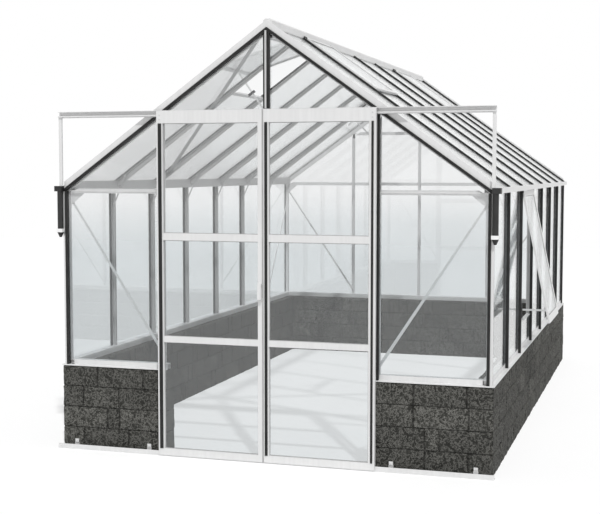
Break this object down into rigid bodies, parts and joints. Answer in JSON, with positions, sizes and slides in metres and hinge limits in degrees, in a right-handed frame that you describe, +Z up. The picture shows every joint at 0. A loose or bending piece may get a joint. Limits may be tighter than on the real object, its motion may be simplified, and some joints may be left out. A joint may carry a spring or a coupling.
{
  "type": "greenhouse",
  "caption": "Free-standing greenhouse: glazed aluminium frame on a low block wall, with sliding double doors, opening roof vents and a top-hung side window.",
  "frame": {"origin": "on the ground under the bottom door track, in the middle of the doorway", "axes": "+X to the right seen from the door front, +Y along the ridge towards the rear, +Z up"},
  "size_m": [2.8266, 4.478, 2.5467],
  "materials": {
    "aluminium_frame": "satin mill finish",
    "cap_strip": "black glazing cap",
    "glazing": "clear",
    "wall_block": "rough split face",
    "black_fitting": "moulded",
    "pale_fitting": "moulded"
  },
  "bodies": {
    "house": {"base_sills": "aluminium_frame", "corner_posts": "aluminium_frame", "cross_sills": "aluminium_frame", "diagonal_braces": "aluminium_frame", "door_bottom_track": "aluminium_frame", "door_header": "aluminium_frame", "door_top_track": "aluminium_frame", "downpipes": "black_fitting", "eaves_beams": "aluminium_frame", "gable_glass": "glazing", "gable_posts": "aluminium_frame", "gable_rafters": "aluminium_frame", "gable_strips": "cap_strip", "gable_ties": "aluminium_frame", "gusset_plates": "aluminium_frame", "gutter_outlets": "black_fitting", "gutters": "aluminium_frame", "hinge_lugs": "black_fitting", "knee_struts": "aluminium_frame", "pipe_clips": "pale_fitting", "ridge_beam": "aluminium_frame", "ridge_cap": "aluminium_frame", "roof_bars": "aluminium_frame", "roof_glass": "glazing", "roof_strips": "cap_strip", "side_glass": "glazing", "side_posts": "aluminium_frame", "side_strips": "cap_strip", "stay_holders": "black_fitting", "track_clips": "aluminium_frame", "track_struts": "aluminium_frame", "wall_blocks": "wall_block"},
    "door_left": {"door_left_frame": "aluminium_frame", "door_left_glass": "glazing", "door_left_strips": "cap_strip", "door_handle": "aluminium_frame"},
    "door_left_roller_inner": {"door_left_roller_inner": "pale_fitting"},
    "door_left_roller_outer": {"door_left_roller_outer": "pale_fitting"},
    "door_right": {"door_right_frame": "aluminium_frame", "door_right_glass": "glazing", "door_right_strips": "cap_strip"},
    "door_right_roller_inner": {"door_right_roller_inner": "pale_fitting"},
    "door_right_roller_outer": {"door_right_roller_outer": "pale_fitting"},
    "vent_front_left": {"vent_front_left_frame": "aluminium_frame", "vent_front_left_glass": "glazing"},
    "vent_front_left_stay": {"vent_front_left_stay": "aluminium_frame"},
    "vent_front_right": {"vent_front_right_frame": "aluminium_frame", "vent_front_right_glass": "glazing"},
    "vent_front_right_stay": {"vent_front_right_stay": "aluminium_frame"},
    "vent_rear_left": {"vent_rear_left_frame": "aluminium_frame", "vent_rear_left_glass": "glazing"},
    "vent_rear_left_stay": {"vent_rear_left_stay": "aluminium_frame"},
    "vent_rear_right": {"vent_rear_right_frame": "aluminium_frame", "vent_rear_right_glass": "glazing"},
    "vent_rear_right_stay": {"vent_rear_right_stay": "aluminium_frame"},
    "side_window": {"side_window_frame": "aluminium_frame", "side_window_glass": "glazing"},
    "side_window_stay": {"side_window_stay": "aluminium_frame"}
  },
  "joints": [
    {"name": "door_left_slide", "type": "slide", "parent": "house", "child": "door_left", "axis": [-1, 0, 0], "range_m": [0, 0.64]},
    {"name": "door_left_roller_inner_spin", "type": "hinge", "parent": "door_left", "child": "door_left_roller_inner", "pos_m": [-0.079, 0.019, 2.0173], "axis": [0, 1, 0], "range_deg": [-3700, 0]},
    {"name": "door_left_roller_outer_spin", "type": "hinge", "parent": "door_left", "child": "door_left_roller_outer", "pos_m": [-0.578, 0.019, 2.0173], "axis": [0, 1, 0], "range_deg": [-3700, 0]},
    {"name": "door_right_slide", "type": "slide", "parent": "house", "child": "door_right", "axis": [1, 0, 0], "range_m": [0, 0.64]},
    {"name": "door_right_roller_inner_spin", "type": "hinge", "parent": "door_right", "child": "door_right_roller_inner", "pos_m": [0.079, 0.019, 2.0173], "axis": [0, 1, 0], "range_deg": [0, 3700]},
    {"name": "door_right_roller_outer_spin", "type": "hinge", "parent": "door_right", "child": "door_right_roller_outer", "pos_m": [0.578, 0.019, 2.0173], "axis": [0, 1, 0], "range_deg": [0, 3700]},
    {"name": "vent_front_left_hinge", "type": "hinge", "parent": "house", "child": "vent_front_left", "pos_m": [-0.03781, 0.98829, 2.50095], "axis": [0, 1, 0], "range_deg": [-18, 12]},
    {"name": "vent_front_left_stay_pivot", "type": "hinge", "parent": "vent_front_left", "child": "vent_front_left_stay", "pos_m": [-0.52155, 0.98829, 2.33584], "axis": [0, 1, 0], "range_deg": [-6, 9]},
    {"name": "vent_front_right_hinge", "type": "hinge", "parent": "house", "child": "vent_front_right", "pos_m": [0.03781, 0.98829, 2.50095], "axis": [0, -1, 0], "range_deg": [0, 30]},
    {"name": "vent_front_right_stay_pivot", "type": "hinge", "parent": "vent_front_right", "child": "vent_front_right_stay", "pos_m": [0.44686, 0.98829, 2.19444], "axis": [0, -1, 0], "range_deg": [-15, 0]},
    {"name": "vent_rear_left_hinge", "type": "hinge", "parent": "house", "child": "vent_rear_left", "pos_m": [-0.03781, 3.47171, 2.50095], "axis": [0, 1, 0], "range_deg": [0, 30]},
    {"name": "vent_rear_left_stay_pivot", "type": "hinge", "parent": "vent_rear_left", "child": "vent_rear_left_stay", "pos_m": [-0.44686, 3.47171, 2.19444], "axis": [0, 1, 0], "range_deg": [-15, 0]},
    {"name": "vent_rear_right_hinge", "type": "hinge", "parent": "house", "child": "vent_rear_right", "pos_m": [0.03781, 3.47171, 2.50095], "axis": [0, -1, 0], "range_deg": [0, 30]},
    {"name": "vent_rear_right_stay_pivot", "type": "hinge", "parent": "vent_rear_right", "child": "vent_rear_right_stay", "pos_m": [0.44686, 3.47171, 2.19444], "axis": [0, -1, 0], "range_deg": [-15, 0]},
    {"name": "side_window_hinge", "type": "hinge", "parent": "house", "child": "side_window", "pos_m": [1.302, 1.60914, 1.55019], "axis": [0, -1, 0], "range_deg": [-12, 8]},
    {"name": "side_window_stay_pivot", "type": "hinge", "parent": "side_window", "child": "side_window_stay", "pos_m": [1.45846, 1.60914, 0.75637], "axis": [0, -1, 0], "range_deg": [-8, 12]}
  ],
  "couplings": [
    {"joint": "door_left_roller_inner_spin", "follows": "door_left_slide", "rad_per_m": -100},
    {"joint": "door_left_roller_outer_spin", "follows": "door_left_slide", "rad_per_m": -100},
    {"joint": "door_right_roller_inner_spin", "follows": "door_right_slide", "rad_per_m": 100},
    {"joint": "door_right_roller_outer_spin", "follows": "door_right_slide", "rad_per_m": 100},
    {"joint": "vent_front_left_stay_pivot", "follows": "vent_front_left_hinge", "ratio": -0.5},
    {"joint": "vent_front_right_stay_pivot", "follows": "vent_front_right_hinge", "ratio": -0.5},
    {"joint": "vent_rear_left_stay_pivot", "follows": "vent_rear_left_hinge", "ratio": -0.5},
    {"joint": "vent_rear_right_stay_pivot", "follows": "vent_rear_right_hinge", "ratio": -0.5},
    {"joint": "side_window_stay_pivot", "follows": "side_window_hinge", "ratio": -1}
  ]
}
